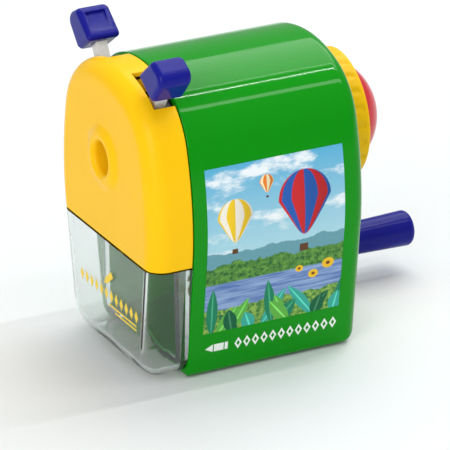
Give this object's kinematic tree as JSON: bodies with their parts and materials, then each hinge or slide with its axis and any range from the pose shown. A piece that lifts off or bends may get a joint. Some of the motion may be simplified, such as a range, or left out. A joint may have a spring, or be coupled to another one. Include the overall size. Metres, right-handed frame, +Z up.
{
  "type": "pencil sharpener",
  "caption": "Small rotary desk pencil sharpener with a pull-out front, two squeeze knobs, a clear shavings drawer, a point dial and a rear hand crank.",
  "frame": {"origin": "centre of the body's footprint, on the surface that the feet stand on", "axes": "+X to the right seen from the front, -Y out of the pencil hole, +Y towards the crank, +Z up"},
  "size_m": [0.0604, 0.1022, 0.0915],
  "materials": {
    "green_plastic": "glossy injection moulding",
    "yellow_plastic": "satin-gloss injection moulding",
    "blue_plastic": "glossy injection moulding",
    "red_plastic": "glossy injection moulding",
    "white_plastic": "satin acetal",
    "grey_plastic": "matte moulding",
    "clear_plastic": "clear polystyrene",
    "printed_label": "printed and laminated sticker",
    "foot_rubber": "matte",
    "rod_steel": "ground and polished",
    "spring_steel": "drawn wire",
    "screw_steel": "zinc plated",
    "cutter_steel": "hardened and ground"
  },
  "bodies": {
    "housing": {"body_shell": "green_plastic", "chassis": "grey_plastic", "gear_ring": "grey_plastic", "rubber_feet": "foot_rubber", "label_right": "printed_label", "label_left": "printed_label", "chassis_screws": "screw_steel", "feed_springs": "spring_steel"},
    "drawer": {"shavings_drawer": "clear_plastic"},
    "front": {"front_cover": "yellow_plastic", "retainer_plate": "grey_plastic", "cover_screws": "screw_steel", "lever_pins": "screw_steel", "lever_spring": "spring_steel", "guide_rods": "rod_steel", "rod_clips": "spring_steel"},
    "left_lever": {"lever_left": "white_plastic", "knob_left": "blue_plastic"},
    "right_lever": {"lever_right": "white_plastic", "knob_right": "blue_plastic"},
    "dial": {"point_dial": "yellow_plastic"},
    "sleeve": {"adjuster_sleeve": "white_plastic"},
    "crank": {"crank_shaft": "rod_steel", "crank_arm": "red_plastic", "cutter_carrier": "grey_plastic", "cutter_axle": "rod_steel", "handle_pin": "rod_steel"},
    "cutter": {"helical_cutter": "cutter_steel", "cutter_pinion": "cutter_steel"},
    "handle": {"handle_grip": "blue_plastic"}
  },
  "joints": [
    {"name": "drawer_slide", "type": "slide", "parent": "housing", "child": "drawer", "axis": [0, -1, 0], "range_m": [0, 0.05]},
    {"name": "front_slide", "type": "slide", "parent": "housing", "child": "front", "axis": [0, -1, 0], "range_m": [0, 0.028], "stiffness_N_per_m": 60, "deforming": ["feed_springs"]},
    {"name": "left_squeeze", "type": "hinge", "parent": "front", "child": "left_lever", "pos_m": [-0.0107, -0.0232, 0.0662], "axis": [0, 1, 0], "range_deg": [0, 10], "stiffness_Nm_per_rad": 0.06, "deforming": ["lever_spring"]},
    {"name": "right_squeeze", "type": "hinge", "parent": "front", "child": "right_lever", "pos_m": [0.0107, -0.0232, 0.0662], "axis": [0, -1, 0], "range_deg": [0, 10], "stiffness_Nm_per_rad": 0.06},
    {"name": "dial_turn", "type": "hinge", "parent": "housing", "child": "dial", "pos_m": [0, 0.035, 0.0577], "axis": [0, 1, 0], "range_deg": [0, 90]},
    {"name": "sleeve_slide", "type": "slide", "parent": "housing", "child": "sleeve", "axis": [0, 1, 0], "range_m": [0, 0.0015]},
    {"name": "crank_spin", "type": "hinge", "parent": "sleeve", "child": "crank", "pos_m": [0, 0.03, 0.0577], "axis": [0, 1, 0], "continuous": true},
    {"name": "cutter_spin", "type": "hinge", "parent": "crank", "child": "cutter", "pos_m": [0, -0.005, 0.0667], "axis": [0, 0.9829, -0.184], "continuous": true},
    {"name": "handle_spin", "type": "hinge", "parent": "crank", "child": "handle", "pos_m": [-0.0148, 0.05, 0.01214], "axis": [0, 1, 0], "continuous": true}
  ],
  "couplings": [
    {"joint": "right_squeeze", "follows": "left_squeeze", "ratio": 1},
    {"joint": "dial_turn", "follows": "sleeve_slide", "rad_per_m": 1047.2},
    {"joint": "cutter_spin", "follows": "crank_spin", "ratio": -3}
  ]
}
